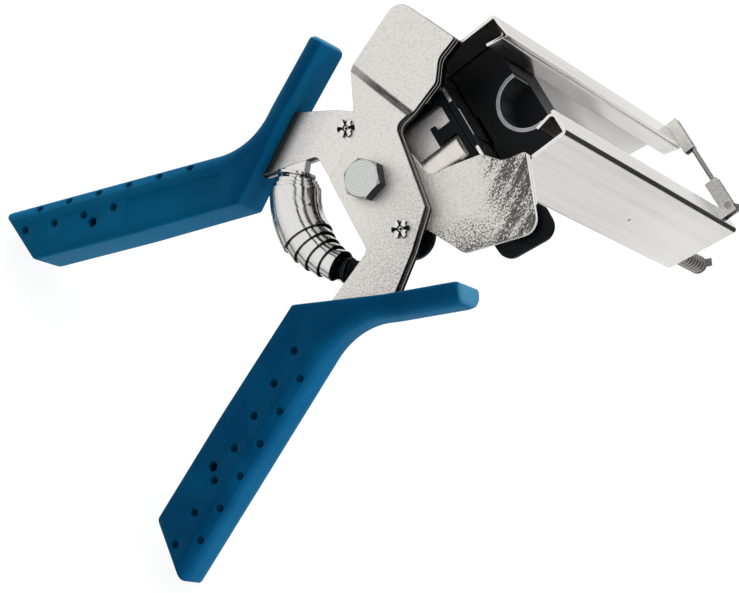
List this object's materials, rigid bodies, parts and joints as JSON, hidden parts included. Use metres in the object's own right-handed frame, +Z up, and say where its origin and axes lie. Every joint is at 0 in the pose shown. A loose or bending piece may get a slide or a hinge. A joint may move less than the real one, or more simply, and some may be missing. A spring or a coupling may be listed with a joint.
{
  "type": "clip-fed stapling pliers",
  "caption": "Stapling pliers: two crossed sheet levers with blue moulded grips and a volute return spring close two jaws over a long clip magazine.",
  "frame": {"origin": "middle of the bounding box's underside, on the surface that the tool lies on", "axes": "+X from the butts of the grips to the far end of the magazine, +Y towards the upper handle, +Z up"},
  "size_m": [0.3312, 0.1998, 0.1803],
  "materials": {
    "blue_plastic": "moulded, smooth",
    "nickel": "nickel plated, satin with a fine grain",
    "bright_steel": "polished sheet",
    "spring_steel": "polished strip",
    "fastener": "zinc plated",
    "black_steel": "black, semi-matt",
    "dark_spring": "black oxide",
    "black_plastic": "black, matt"
  },
  "bodies": {
    "magazine": {"guide_plate": "black_steel", "magazine_bracket": "nickel", "magazine_channel": "bright_steel", "bracket_screws": "fastener", "pivot_bolt": "fastener", "pivot_bush": "fastener", "pivot_spacer": "fastener", "pivot_washer": "fastener", "pivot_nut": "fastener", "ribbon_hook": "black_steel", "post_bracket": "black_steel", "tail_post": "fastener", "tail_spring": "dark_spring", "bail_hinge_clip": "bright_steel", "bail_catch_clip": "bright_steel", "bail_pin": "fastener", "return_spring": "spring_steel", "feed_ribbon": "spring_steel"},
    "lower_lever": {"lower_grip": "blue_plastic", "lower_lever_front_plate": "nickel", "lower_lever_rear_plate": "nickel", "lower_tang_spacer": "black_steel", "lower_lever_rivet": "fastener", "upper_jaw": "nickel", "lower_spring_seat": "spring_steel"},
    "upper_lever": {"upper_grip": "blue_plastic", "upper_lever_front_plate": "nickel", "upper_lever_rear_plate": "nickel", "upper_tang_spacer": "black_steel", "upper_lever_rivet": "fastener", "lower_jaw": "nickel", "upper_spring_seat": "spring_steel"},
    "pusher": {"pusher_block": "black_plastic", "pusher_sleeve": "spring_steel", "ribbon_reel": "spring_steel"},
    "bail": {"end_bail": "bright_steel"}
  },
  "joints": [
    {"name": "lower_lever_hinge", "type": "hinge", "parent": "magazine", "child": "lower_lever", "pos_m": [-0.05126, 0, 0.1248], "axis": [-0.7385, 0, 0.6743], "range_deg": [-19, 0], "stiffness_Nm_per_rad": 2, "springref_deg": 17.19, "deforming": ["return_spring"]},
    {"name": "upper_lever_hinge", "type": "hinge", "parent": "magazine", "child": "upper_lever", "pos_m": [-0.05126, 0, 0.1248], "axis": [-0.7385, 0, 0.6743], "range_deg": [0, 19], "stiffness_Nm_per_rad": 2, "springref_deg": -17.19, "deforming": ["return_spring"]},
    {"name": "pusher_slide", "type": "slide", "parent": "magazine", "child": "pusher", "axis": [0.7385, 0, -0.6743], "range_m": [0, 0.132], "stiffness_N_per_m": 25, "springref_m": -0.2, "deforming": ["feed_ribbon"]},
    {"name": "bail_hinge", "type": "hinge", "parent": "magazine", "child": "bail", "pos_m": [0.15995, -0.022, 0.04869], "axis": [0.7385, 0, -0.6743], "range_deg": [0, 56]}
  ]
}
